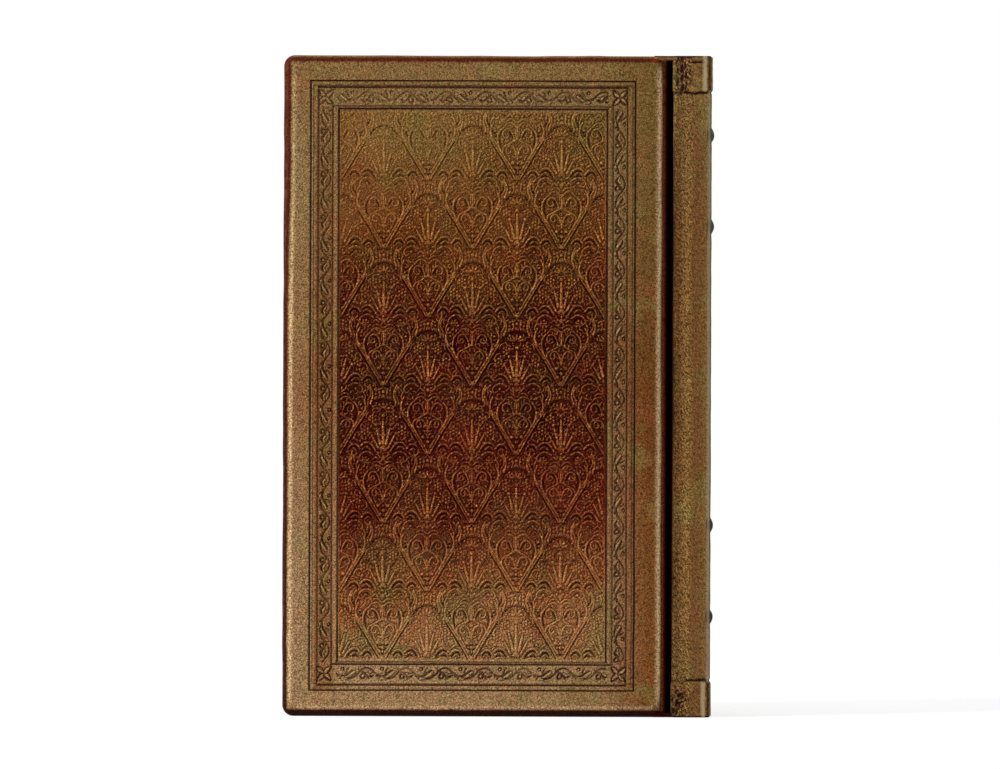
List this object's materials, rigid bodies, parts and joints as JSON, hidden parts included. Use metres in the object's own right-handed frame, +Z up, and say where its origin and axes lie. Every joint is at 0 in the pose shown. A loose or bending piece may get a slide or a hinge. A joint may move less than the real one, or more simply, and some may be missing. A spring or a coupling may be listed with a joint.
{
  "type": "leather-bound book",
  "caption": "Closed leather-bound book with a blind-tooled cover, grooved hinges and raised bands across its spine, standing on its tail.",
  "frame": {"origin": "middle of the closed book's footprint, on the surface that its tail edges stand on", "axes": "+Z up to the head, +X to the spine, -Y out through the tooled cover"},
  "size_m": [0.1142, 0.03, 0.175],
  "materials": {
    "tooled_leather": "satin",
    "leather": "satin",
    "board": "matte",
    "cord": "matte",
    "lining": "matte",
    "thread": "matte",
    "paper": "matte"
  },
  "bodies": {
    "block": {"page_block": "paper", "front_flyleaf": "paper", "back_flyleaf": "paper", "head_band": "thread", "tail_band": "thread", "spine_lining": "lining", "spine_board": "board", "front_joint_strip": "board", "back_joint_strip": "board", "raised_band_1": "cord", "raised_band_2": "cord", "raised_band_3": "cord", "raised_band_4": "cord", "spine_leather": "leather"},
    "front_cover": {"front_board": "board", "front_leather": "tooled_leather", "front_pastedown": "paper"},
    "back_cover": {"back_board": "board", "back_leather": "leather", "back_pastedown": "paper"}
  },
  "joints": [
    {"name": "front_cover_hinge", "type": "hinge", "parent": "block", "child": "front_cover", "pos_m": [0.0447, -0.01515, 0.0875], "axis": [0, 0, 1], "range_deg": [0, 180]},
    {"name": "back_cover_hinge", "type": "hinge", "parent": "block", "child": "back_cover", "pos_m": [0.0447, 0.01515, 0.0875], "axis": [0, 0, -1], "range_deg": [0, 180]}
  ]
}
